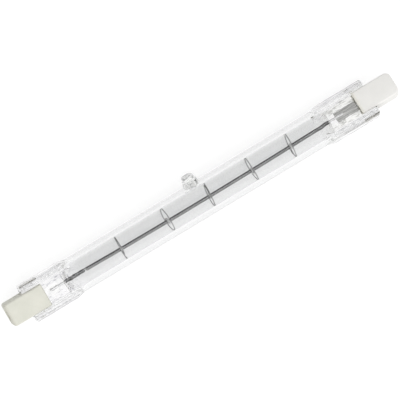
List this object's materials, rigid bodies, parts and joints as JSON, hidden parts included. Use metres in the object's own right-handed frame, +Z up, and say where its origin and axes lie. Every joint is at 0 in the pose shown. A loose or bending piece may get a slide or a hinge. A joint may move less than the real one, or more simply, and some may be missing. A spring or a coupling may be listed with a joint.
{
  "type": "linear halogen bulb",
  "caption": "Double-ended linear halogen bulb: clear quartz tube with a coiled filament on wire supports, flat pinch seals and recessed contacts in ceramic end caps.",
  "frame": {"origin": "on the lamp's axis, midway between the two cap ends", "axes": "+X along the lamp from the right cap to the left cap, +Z up as the lamp lies on its tube, the exhaust tip on the -Y side"},
  "size_m": [0.1176, 0.0133, 0.01],
  "materials": {
    "quartz": "polished",
    "tungsten": "satin",
    "molybdenum": "satin",
    "ceramic": "matte",
    "cement": "matte",
    "nickel": "satin"
  },
  "bodies": {
    "root": {"quartz_envelope": "quartz", "filament": "tungsten", "filament_support_1": "tungsten", "filament_support_2": "tungsten", "filament_support_3": "tungsten", "filament_support_4": "tungsten", "filament_support_5": "tungsten", "inner_lead_left": "tungsten", "foil_left": "molybdenum", "outer_lead_left": "molybdenum", "ceramic_cap_left": "ceramic", "cap_cement_left": "cement", "contact_left": "nickel", "inner_lead_right": "tungsten", "foil_right": "molybdenum", "outer_lead_right": "molybdenum", "ceramic_cap_right": "ceramic", "cap_cement_right": "cement", "contact_right": "nickel"}
  },
  "joints": []
}
